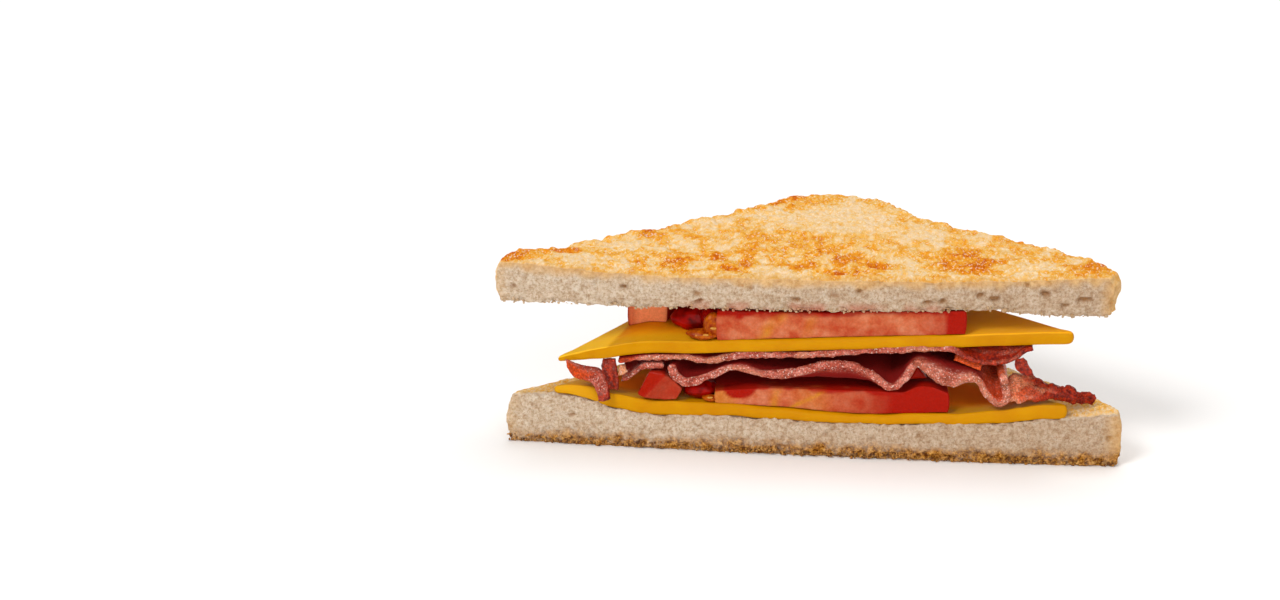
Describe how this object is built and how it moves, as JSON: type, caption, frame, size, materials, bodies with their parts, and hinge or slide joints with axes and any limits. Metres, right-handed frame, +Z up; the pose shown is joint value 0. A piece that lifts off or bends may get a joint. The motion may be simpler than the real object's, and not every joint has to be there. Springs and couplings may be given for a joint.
{
  "type": "toasted bacon sandwich half",
  "caption": "Triangular half of a toasted sandwich with bacon, cheese slices and tomato showing at the cut.",
  "frame": {"origin": "middle of the bounding box of the whole sandwich half, on the flat underside that it rests on", "axes": "+X along the cut edge, from the picture's left to its right; -Y is the side with the cut face; +Z up through the layers"},
  "size_m": [0.151, 0.077, 0.0473],
  "materials": {
    "toast": "golden toasted faces, pale open crumb at the cut, matt",
    "cheese": "smooth warm yellow, slightly glossy, a little translucent",
    "tomato": "wet salmon-red flesh with a darker red skin",
    "bacon": "pink-brown cooked lean, greasy sheen, crisp dark ends",
    "bacon_fat": "pale yellow cooked fat, greasy sheen"
  },
  "bodies": {
    "root": {"bread_top": "toast", "bread_bottom": "toast", "cheese_upper": "cheese", "cheese_lower": "cheese", "tomato_upper": "tomato", "tomato_upper_wall": "tomato", "tomato_lower": "tomato", "tomato_lower_wedge": "tomato", "tomato_lower_scrap": "tomato", "bacon_upper": "bacon", "bacon_ruffled": "bacon", "bacon_rear": "bacon", "bacon_crisp_end": "bacon", "bacon_crisp_tab": "bacon", "bacon_left_curl": "bacon", "bacon_left_fold": "bacon", "bacon_left_tuck": "bacon", "bacon_fat_end": "bacon_fat", "bacon_fat_sliver": "bacon_fat"}
  },
  "joints": []
}
